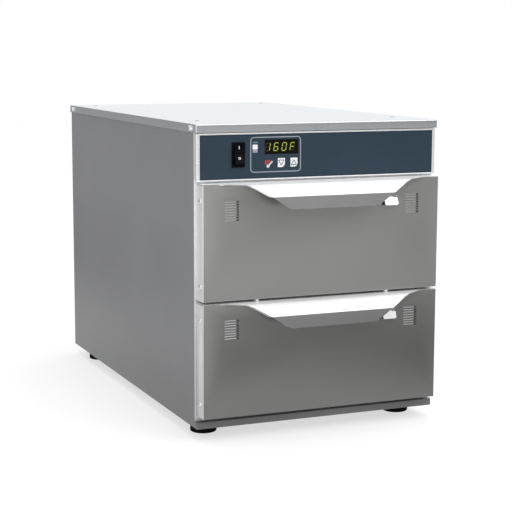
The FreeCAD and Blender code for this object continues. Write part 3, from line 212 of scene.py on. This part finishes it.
# ------------------------------------------------------------------ metals
def brushed_steel(name, tone, roughness, grain, cloud=0.05, tint=NO_TINT, painted_shade=None,
                  anisotropy=0.0, across="Z", painted_light=None, haze=0.0, metal=1.0):
    """Satin sheet: fine grain lines, broad clouding, smudges and paler worn edges.

    The grain lines run along the axis grain. metal is the metallic share. anisotropy
    stretches the highlights, with tangents round the axis across.
    The tuple (low z, high z, share) for the floor is painted shade: it darkens the sheet toward the
    floor, down to that share of its tone. The tuple (axis, sign, tone, share) is painted light:
    faces that look along that axis get another, paler tone standing in for the light that falls on
    them, with its own share at low z where there is painted shade, and a metallic share of 1 -
    haze.
    """
    material, tree, shader = new_material(name)
    place = tree.place()
    fine = tree.lines(place, grain, 6, 900, 2.0, 0.6)
    broad = tree.lines(place, grain, 1.5, 160, 3.0, 0.55)
    clouds = tree.noise(place, 5.0, 3.0, 0.5)
    smudges = tree.noise(place, 22.0, 5.0, 0.62)
    # Painted light: faces that look along the axis get a paler tone, standing in for the light on
    # them, and less metal.
    if painted_light:
        axis, turn, painted_light_tone, painted_light_share = painted_light
        normal = tree.add("NewGeometry").outputs["Normal"]
        parts = tree.add("SeparateXYZ", inputs={"Vector": normal})
        facing = tree.math("MULTIPLY", parts.outputs[axis], turn)
        tone = tree.ramp(facing, *PAINTED_LIGHT_STEP, tone, painted_light_tone)
        tree.put(tree.ramp(facing, *PAINTED_LIGHT_STEP, metal, 1.0 - haze),
                 shader.inputs["Metallic"])
    else:
        shader.inputs["Metallic"].default_value = metal
    level = tree.vary(tone, clouds, cloud * 2)
    level = tree.vary(level, fine, STEEL_FINE)
    level = tree.vary(level, broad, STEEL_BROAD)
    # Painted shade: the tone darkens toward the floor, kept at its own share on faces with painted
    # light.
    if painted_shade:
        low, high, share_low = painted_shade
        height = tree.add("SeparateXYZ", inputs={"Vector": place}).outputs["Z"]
        share = tree.ramp(height, low, high, share_low, 1.0)
        if painted_light:
            kept = tree.ramp(height, low, high, painted_light_share, 1.0)
            share = tree.mix_value(tree.ramp(facing, *PAINTED_LIGHT_STEP), share, kept)
        level = tree.math("MULTIPLY", level, share)
    worn = tree.ramp(tree.add("NewGeometry").outputs["Pointiness"], *WORN_EDGE_STEP)
    level = tree.math("MULTIPLY_ADD", worn, WORN_EDGE_TONE, level, clamp=True)
    gloss = tree.vary(roughness, smudges, STEEL_SMUDGE_GLOSS)
    gloss = tree.vary(gloss, fine, STEEL_FINE_GLOSS, clamp=True)
    tree.surface(shader, tree.tinted(level, tint), gloss, fine, STEEL_BUMP)
    if anisotropy:
        flow = tree.add("Tangent", direction_type="RADIAL", axis=across)
        tree.put(flow.outputs[0], shader.inputs["Tangent"])
        shader.inputs["Anisotropic"].default_value = anisotropy
    return material


def plain_metal(name, tone, roughness, tint=NO_TINT, speckle=60.0):
    """Zinc, aluminised or polished metal without a brushing direction."""
    material, tree, shader = new_material(name)
    place = tree.place()
    spangle = tree.noise(place, speckle, 4.0, 0.6)
    broad = tree.noise(place, 9.0, 2.0)
    level = tree.vary(tone, spangle, METAL_SPANGLE)
    level = tree.vary(level, broad, METAL_BROAD, clamp=True)
    gloss = tree.vary(roughness, spangle, METAL_GLOSS, clamp=True)
    tree.surface(shader, tree.tinted(level, tint), gloss, spangle, METAL_BUMP)
    shader.inputs["Metallic"].default_value = 1.0
    return material


# ------------------------------------------------------------------ plastics and rubber
def moulded(name, colour, roughness, vary=0.12, grain=700.0, bump=0.12, mask=None, shine=0.5):
    """Plastic, rubber, print or film with a fine grain and slight tone changes.

    mask(tree, place, tone) may change the tone from place to place.
    """
    material, tree, shader = new_material(name)
    place = tree.place()
    fine = tree.noise(place, grain, 3.0, 0.6)
    broad = tree.noise(place, 14.0, 3.0)
    low = tuple(c * (1 - vary) for c in colour) + (1.0,)
    high = tuple(min(1.0, c * (1 + vary)) for c in colour) + (1.0,)
    tone = tree.mix(broad, low, high)
    if mask:
        tone = mask(tree, place, tone)
    gloss = tree.vary(roughness, fine, PLASTIC_GLOSS, clamp=True)
    tree.surface(shader, tone, gloss, fine, bump)
    shader.inputs["Specular IOR Level"].default_value = shine
    return material


def glowing(name, colour, strength):
    """Lit plastic with a slightly uneven glow and gloss."""
    darkest, roughness, gloss_change = 0.82, 0.35, 0.1
    material, tree, shader = new_material(name)
    uneven = tree.noise(tree.place(), 500.0, 2.0)
    low = tuple(c * darkest for c in colour) + (1.0,)
    high = tuple(colour) + (1.0,)
    tone = tree.mix(uneven, low, high)
    tree.put(tone, shader.inputs["Base Color"])
    tree.put(tone, shader.inputs["Emission Color"])
    gloss = tree.math("MULTIPLY_ADD", uneven, gloss_change, roughness)
    tree.put(gloss, shader.inputs["Roughness"])
    shader.inputs["Emission Strength"].default_value = strength
    return material


def span_mask(tree, value, low, high, soft):
    """One between low and high, with soft ends."""
    rise = tree.ramp(value, low - soft, low + soft)
    fall = tree.ramp(value, high - soft, high + soft)
    return tree.math("SUBTRACT", rise, fall, clamp=True)


# ------------------------------------------------------------------ pieces
def mesh_piece(name, points, faces, material, body):
    """New mesh that rides on a body."""
    mesh = bpy.data.meshes.new(name)
    mesh.from_pydata(points, [], faces)
    mesh.validate()
    mesh.update()
    piece = bpy.data.objects.new(name, mesh)
    bpy.context.scene.collection.objects.link(piece)
    mesh.materials.append(material)
    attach(piece, body)
    return piece


def plate(outline, y_front, y_back):
    """Closed prism of an X, Z outline between two Y planes."""
    count = len(outline)
    points = [(x, y_front, z) for x, z in outline] + [(x, y_back, z) for x, z in outline]
    faces = [tuple(range(count)), tuple(range(2 * count - 1, count - 1, -1))]
    for k in range(count):
        following = (k + 1) % count
        faces.append((k, k + count, following + count, following))
    return points, faces


def band(outline, width, y_front, y_back):
    """Closed band of a given width, inward from an outline whose corners run anticlockwise."""
    least_cosine = 0.35
    count = len(outline)
    inside = []
    for k in range(count):
        before = Vector(outline[k - 1])
        here = Vector(outline[k])
        after = Vector(outline[(k + 1) % count])
        first = (here - before).normalized()
        second = (after - here).normalized()
        normal = Vector((-(first.y + second.y), first.x + second.x)).normalized()
        stretch = width / max(least_cosine, normal.dot(Vector((-first.y, first.x))))
        inside.append(tuple(here + normal * stretch))
    points = []
    for y in (y_front, y_back):
        points += [(x, y, z) for x, z in outline]
        points += [(x, y, z) for x, z in inside]
    faces = []
    for k in range(count):
        n = (k + 1) % count
        a, b, c, d = k, n, n + count, k + count
        faces.append((a, b, c, d))
        faces.append((d + 2 * count, c + 2 * count, b + 2 * count, a + 2 * count))
        faces.append((b, a, a + 2 * count, b + 2 * count))
        faces.append((d, c, c + 2 * count, d + 2 * count))
    return points, faces


def rounded(corners, radius, steps=5):
    """Polygon with rounded corners, each of which takes less than half of a side."""
    largest_share = 0.45
    outline = []
    count = len(corners)
    for k in range(count):
        before = Vector(corners[k - 1])
        here = Vector(corners[k])
        after = Vector(corners[(k + 1) % count])
        back = (before - here).normalized()
        ahead = (after - here).normalized()
        angle = back.angle(ahead)
        reach = min(radius / math.tan(angle / 2), (before - here).length * largest_share,
                    (after - here).length * largest_share)
        start = here + back * reach
        end = here + ahead * reach
        for step in range(steps + 1):
            t = step / steps
            point = start * (1 - t) ** 2 + here * 2 * t * (1 - t) + end * t ** 2
            outline.append(tuple(point))
    return outline


# ------------------------------------------------------------------ stage
def studio_level(tree, aside, ahead):
    """Grey studio by direction: pale toward the camera, darker to its far right and ahead."""
    front = tree.ramp(aside, *FAR_RIGHT_STEP, FRONT_TONE, FAR_RIGHT_TONE)
    return tree.mix_value(tree.ramp(ahead, *BEYOND_STEP), front, BEYOND_TONE)


def add_floor():
    """Plain pale paper, which also glows up to white where the main picture shows it."""
    mesh = bpy.data.meshes.new("floor")
    half = 9
    corners = [(-half, -half, 0), (half, -half, 0), (half, half, 0), (-half, half, 0)]
    mesh.from_pydata(corners, [], [(0, 1, 2, 3)])
    floor = bpy.data.objects.new("floor", mesh)
    floor.rotation_euler.z = -CAMERA_YAW
    bpy.context.scene.collection.objects.link(floor)
    material, tree, shader = new_material("floor_paper")
    place = tree.place()
    parts = tree.add("SeparateXYZ", inputs={"Vector": place})
    aside, ahead = parts.outputs["X"], parts.outputs["Y"]
    half_width = tree.math("MULTIPLY_ADD", ahead, GLOW_WIDENING, GLOW_HALF_WIDTH)
    outside = tree.math("SUBTRACT", tree.math("ABSOLUTE", aside), half_width)
    shown = tree.math("MULTIPLY", tree.ramp(ahead, *GLOW_NEAR_STEP),
                      tree.ramp(outside, *GLOW_SIDE_STEP, 1.0, 0.0))
    tone = tree.math("MULTIPLY_ADD", tree.noise(place, 3.0), FLOOR_VARIATION, FLOOR_TONE)
    tree.put(tree.mix(tone, grey(0.0), grey(1.0)), shader.inputs["Base Color"])
    shader.inputs["Roughness"].default_value = 0.9
    shader.inputs["Specular IOR Level"].default_value = 0.1
    path = tree.add("LightPath")
    seen = tree.math("ADD", path.outputs["Is Camera Ray"], path.outputs["Is Glossy Ray"])
    seen = tree.math("ADD", seen, path.outputs["Is Transmission Ray"], clamp=True)
    shader.inputs["Emission Color"].default_value = grey(1.0)
    tree.put(tree.math("MULTIPLY", seen, tree.math("MULTIPLY", shown, FLOOR_GLOW)),
             shader.inputs["Emission Strength"])
    mesh.materials.append(material)


def add_world():
    """White backdrop beyond the part, a bright ceiling, and the grey studio elsewhere."""
    world = bpy.data.worlds.new("studio")
    bpy.context.scene.world = world
    world.use_nodes = True
    tree = Tree(world.node_tree)
    background = world.node_tree.nodes["Background"]
    direction = tree.add("TexCoord").outputs["Generated"]
    parts = tree.add("SeparateXYZ", inputs={"Vector": direction})
    x, y, z = (parts.outputs[axis] for axis in "XYZ")
    ahead = tree.math("ADD", tree.math("MULTIPLY", x, math.sin(CAMERA_YAW)),
                      tree.math("MULTIPLY", y, math.cos(CAMERA_YAW)))
    aside = tree.math("SUBTRACT", tree.math("MULTIPLY", x, math.cos(CAMERA_YAW)),
                      tree.math("MULTIPLY", y, math.sin(CAMERA_YAW)))
    backdrop = tree.math("MULTIPLY", tree.ramp(ahead, *BACKDROP_STEP),
                         tree.ramp(aside, *BACKDROP_LEFT_STEP))
    ceiling = tree.math("MULTIPLY", tree.ramp(z, *CEILING_STEP), CEILING_TONE)
    level = tree.math("MAXIMUM", tree.math("MAXIMUM", backdrop, ceiling),
                      studio_level(tree, aside, ahead))
    tree.put(tree.mix(level, grey(0.0), grey(1.0)), background.inputs["Color"])
    background.inputs["Strength"].default_value = 1.0


def add_lamp(name, place, target, size, radiance, mirrored=True):
    """Area lamp whose face has the given brightness; unmirrored, it lights but isn't reflected."""
    data = bpy.data.lights.new(name, "AREA")
    data.shape = "RECTANGLE"
    data.size, data.size_y = size
    data.energy = radiance * math.pi * size[0] * size[1]
    lamp = bpy.data.objects.new(name, data)
    lamp.location = place
    lamp.rotation_euler = (Vector(target) - Vector(place)).to_track_quat("-Z", "Y").to_euler()
    lamp.visible_glossy = mirrored
    bpy.context.scene.collection.objects.link(lamp)


# ------------------------------------------------------------------ object
def dress_metals():
    # In these sheets the paler tones of faces that look along an axis are painted light, and the
    # darkening toward the floor is painted shade.
    casing = brushed_steel("casing_sheet", 0.28, 0.34, "y", tint=(0.945, 0.955, 1.0),
                           painted_shade=(0.03, 0.42, 0.12), anisotropy=0.5, across="Y",
                           painted_light=("Y", -1, 0.98, 0.6), haze=0.7, metal=0.4)
    # Very dark tone of the base steel: painted shade under the overhang of the drawer fronts.
    base = brushed_steel("shaded_base_sheet", 0.078, 0.50, "x", metal=0.4)
    cover = brushed_steel("cover_sheet", 0.70, 0.28, "y", cloud=0.02, tint=(0.925, 0.968, 1.0),
                          painted_light=("Z", 1, 0.76, 1.0))
    # Near-white tone with a diffuse half: painted sheen standing in for the bright reflection on
    # the panel's rim.
    panel = brushed_steel("panel_sheet_painted_sheen", 0.96, 0.26, "x", cloud=0.02, metal=0.5,
                          painted_light=("Z", 1, 0.96, 1.0), haze=0.6)
    front = brushed_steel("front_sheet", 0.42, 0.24, "x", tint=(1.0, 1.0, 0.985),
                          painted_shade=(0.03, 0.40, 0.20), anisotropy=0.4, across="X",
                          painted_light=("X", -1, 0.98, 0.54), haze=0.7, metal=0.72)
    pull = brushed_steel("pull_sheet", 0.46, 0.30, "x", painted_shade=(0.03, 0.40, 0.20),
                         painted_light=("Z", 1, 0.99, 1.0), haze=0.88)
    shutter = brushed_steel("shutter_sheet", 0.72, 0.30, "x", painted_light=("Z", 1, 0.96, 1.0),
                            haze=0.6)
    screw = plain_metal("bright_screw", 0.85, 0.18)
    zinc = plain_metal("zinc_plate", 0.62, 0.38, (0.98, 0.99, 1.0))
    liner = plain_metal("aluminised_sheet", 0.62, 0.42, (0.99, 0.99, 1.0), 30.0)
    pan = brushed_steel("pan_sheet", 0.72, 0.22, "y")
    assign(casing, "left_side_panel", "right_side_panel", "back_panel", "front_rails")
    assign(base, "base_pan")
    assign(cover, "top_cover")
    assign(panel, "control_panel")
    assign(screw, "cover_screws", "rear_screws", "foot_screws", "temperature_sensor")
    assign(plain_metal("worn_plug", 0.55, 0.4), "cover_plugs")
    assign(zinc, "control_shelf", "cable_straps", "slide_brackets", "slide_outer_members")
    assign(liner, "cavity_floor", "cavity_shell", "drawer_divider")
    for drawer in ("lower_", "upper_"):
        assign(front, drawer + "front_panel")
        assign(pull, drawer + "pull")
        assign(shutter, drawer + "vent_shutter")
        assign(screw, drawer + "side_screws")
        assign(zinc, drawer + "slide_middle", drawer + "slide_inner")
        assign(liner, drawer + "inner_panel", drawer + "pan_carrier", drawer + "shutter_guides")
        assign(pan, drawer + "food_pan")


def dress_plastics():
    assign(moulded("buffer_nylon", (0.86, 0.86, 0.84), 0.45, 0.05), "upper_front_buffers")
    assign(moulded("foot_rubber", (0.008, 0.008, 0.009), 0.8, shine=0.06), "feet")
    assign(moulded("gland_nylon", (0.02, 0.02, 0.021), 0.5), "cord_gland", "terminal_block")
    assign(moulded("gasket_silicone", (0.30, 0.31, 0.32), 0.6), "lower_gasket", "upper_gasket")
    assign(moulded("wool_blanket", (0.62, 0.55, 0.34), 0.95, 0.3, 240.0, 0.8), "insulation")
    assign(moulded("cable_jacket", (0.45, 0.07, 0.04), 0.5), "heating_cable")
    assign(moulded("iron_core", (0.07, 0.07, 0.08), 0.6), "transformer")
    assign(moulded("board_laminate", (0.03, 0.16, 0.07), 0.45), "controller_board")
    assign(moulded("switch_black", (0.002, 0.002, 0.003), 0.5, bump=0.04, shine=0.08),
           "switch_housing", "rocker")
    assign(moulded("window_smoke", (0.006, 0.004, 0.001), 0.22, bump=0.02, shine=0.12),
           "display_window")
    assign(moulded("key_white", (0.90, 0.91, 0.92), 0.5, 0.04), "key_down", "key_up")
    assign(moulded("print_grey", (0.36, 0.41, 0.47), 0.5), "controller_trim")
    assign(moulded("print_red", (0.36, 0.065, 0.055), 0.5, shine=0.2), "heat_symbol")
    assign(moulded("print_white", (0.70, 0.73, 0.76), 0.5, 0.05), "thermometer_mark")
    assign(glowing("digit_glow", (0.30, 0.38, 0.045), 0.5), "display_digits")

    low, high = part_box("panel_overlay")
    edge, soft = 0.0016, 0.0006

    def film_edges(tree, place, tone):
        """Darker line round the film."""
        parts = tree.add("SeparateXYZ", inputs={"Vector": place})
        inside = tree.math("MULTIPLY",
                           span_mask(tree, parts.outputs["X"], low[0] + edge, high[0] - edge, soft),
                           span_mask(tree, parts.outputs["Z"], low[2] + edge, high[2] - edge, soft))
        return tree.mix(inside, (0.014, 0.032, 0.052, 1.0), tone)

    assign(moulded("overlay_film", (0.028, 0.050, 0.072), 0.45, 0.10, 900.0, 0.08,
                   mask=film_edges, shine=0.2), "panel_overlay")

    lamp_low, lamp_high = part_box("indicator_lamp")

    def lamp_bands(tree, place, tone):
        """White band across the middle and a dark one over it, by shares of the height."""
        height = tree.add("SeparateXYZ", inputs={"Vector": place}).outputs["Z"]
        share = tree.math("DIVIDE", tree.math("SUBTRACT", height, lamp_low[2]),
                          lamp_high[2] - lamp_low[2])
        white = span_mask(tree, share, 0.32, 0.73, 0.02)
        dark = span_mask(tree, share, 0.78, 0.94, 0.01)
        tone = tree.mix(white, tone, (0.95, 0.96, 0.97, 1.0))
        return tree.mix(dark, tone, (0.05, 0.09, 0.14, 1.0))

    assign(moulded("lamp_lens", (0.34, 0.38, 0.43), 0.4, 0.05, mask=lamp_bands, shine=0.2),
           "indicator_lamp")


def add_display_ghosts():
    """Unlit segments of four digits, a shade paler than the dark window."""
    digits, to_left = 4, 0.0026
    width, height, pitch, thick, gap = 0.0082, 0.0136, 0.0140, 0.00135, 0.00035
    lean = math.tan(math.radians(10.0))
    proud, sunk = 0.00006, 0.0002
    low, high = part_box("display_window")
    y = low[1]
    x_mid = (low[0] + high[0]) / 2 - to_left
    z_mid = (low[2] + high[2]) / 2
    half = height / 2
    bars = (height - thick / 2, half, thick / 2)
    posts = ((thick / 2, 0.0, half), (thick / 2, half, height),
             (width - thick / 2, 0.0, half), (width - thick / 2, half, height))
    points, faces = [], []
    for digit in range(digits):
        left = x_mid - ((digits - 1) * pitch + width) / 2 + digit * pitch
        shapes = []
        for z in bars:
            shapes.append([(thick / 2 + gap, z), (thick + gap, z + thick / 2),
                           (width - thick - gap, z + thick / 2), (width - thick / 2 - gap, z),
                           (width - thick - gap, z - thick / 2), (thick + gap, z - thick / 2)])
        for x, z_low, z_high in posts:
            z_low = z_low + (thick / 2 if z_low == 0 else 0) + gap
            z_high = z_high - (thick / 2 if z_high == height else 0) - gap
            shapes.append([(x, z_low), (x - thick / 2, z_low + thick / 2),
                           (x - thick / 2, z_high - thick / 2), (x, z_high),
                           (x + thick / 2, z_high - thick / 2), (x + thick / 2, z_low + thick / 2)])
        for shape in shapes:
            outline = [(left + x + (z - half) * lean, z_mid - half + z) for x, z in shape]
            more_points, more_faces = plate(outline, y - proud, y + sunk)
            shift = len(points)
            points += more_points
            faces += [tuple(k + shift for k in face) for face in more_faces]
    material = moulded("segment_unlit", (0.034, 0.024, 0.006), 0.3, 0.2, bump=0.02)
    mesh_piece("display_ghosts", points, faces, material, "cabinet")


def add_key_marks():
    """Triangle outlines on the two keys, the lower value's pointing down."""
    to_left, half_base, base, tip = 0.0003, 0.0056, 0.0046, 0.0052
    corner, line, proud, sunk = 0.0011, 0.0013, 0.00015, 0.0001
    material = moulded("print_slate", (0.17, 0.20, 0.24), 0.5)
    for body, node, turn in (("down_key", "key_down", -1), ("up_key", "key_up", 1)):
        low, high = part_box(node)
        x = (low[0] + high[0]) / 2 - to_left
        z = (low[2] + high[2]) / 2
        corners = [(x - half_base, z - turn * base), (x + half_base, z - turn * base),
                   (x, z + turn * tip)]
        if turn < 0:
            corners = [corners[1], corners[0], corners[2]]
        outline = rounded(corners, corner)
        points, faces = band(outline, line, low[1] - proud, low[1] + sunk)
        mesh_piece(node + "_mark", points, faces, material, body)


def add_switch_marks():
    """Bar on the rocker's upper half and ring on its lower half."""
    half_turn, face_reach = math.radians(8.0), 0.0045
    proud, sunk = 0.0001, 0.0003
    bar_half, bar_low, bar_high, bar_corner = 0.0006, 0.0083, 0.0132, 0.0003
    ring_radius, ring_down, ring_line, ring_steps = 0.0021, 0.0060, 0.0009, 32
    material = moulded("mark_white", (0.80, 0.81, 0.82), 0.4, 0.05)
    joint = [j for j in frame["joints"] if j["name"] == "rocker_pivot"][0]
    pivot = Vector(joint["pos_m"])
    rest = Matrix.Rotation(-half_turn, 4, "X")

    def place_on(points, side):
        """Points moved from the pivot's plane to the upper (1) or lower (-1) face at rest."""
        face = Matrix.Rotation(half_turn * side, 4, "X")
        moved = []
        for x, y, z in points:
            local = face @ Vector((x, y, z))
            local.y -= face_reach
            moved.append(tuple(pivot + rest @ local))
        return moved

    bar = rounded([(-bar_half, bar_low), (bar_half, bar_low), (bar_half, bar_high),
                   (-bar_half, bar_high)], bar_corner)
    points, faces = plate(bar, -proud, sunk)
    mesh_piece("mark_on", place_on(points, 1), faces, material, "power_rocker")
    angles = [2 * math.pi * k / ring_steps for k in range(ring_steps)]
    ring = [(ring_radius * math.cos(a), -ring_down + ring_radius * math.sin(a)) for a in angles]
    points, faces = band(ring, ring_line, -proud, sunk)
    mesh_piece("mark_off", place_on(points, -1), faces, material, "power_rocker")


# ------------------------------------------------------------------ build
add_camera()
add_floor()
add_world()
bpy.context.scene.view_settings.view_transform = "Standard"
add_lamp("softbox_top", place=(0.1, 0.0, 2.8), target=(0, 0, 0.3), size=(2.4, 2.4),
         radiance=1.2, mirrored=False)
add_lamp("softbox_front", place=(0.85, -1.9, 1.85), target=(0, -0.35, 0.35), size=(1.8, 1.5),
         radiance=2.2)
add_lamp("front_card", place=(-0.72, -1.70, 0.24), target=(-0.36, -0.85, 1.6), size=(0.42, 1.5),
         radiance=2.6)
dress_metals()
dress_plastics()
add_display_ghosts()
add_key_marks()
add_switch_marks()
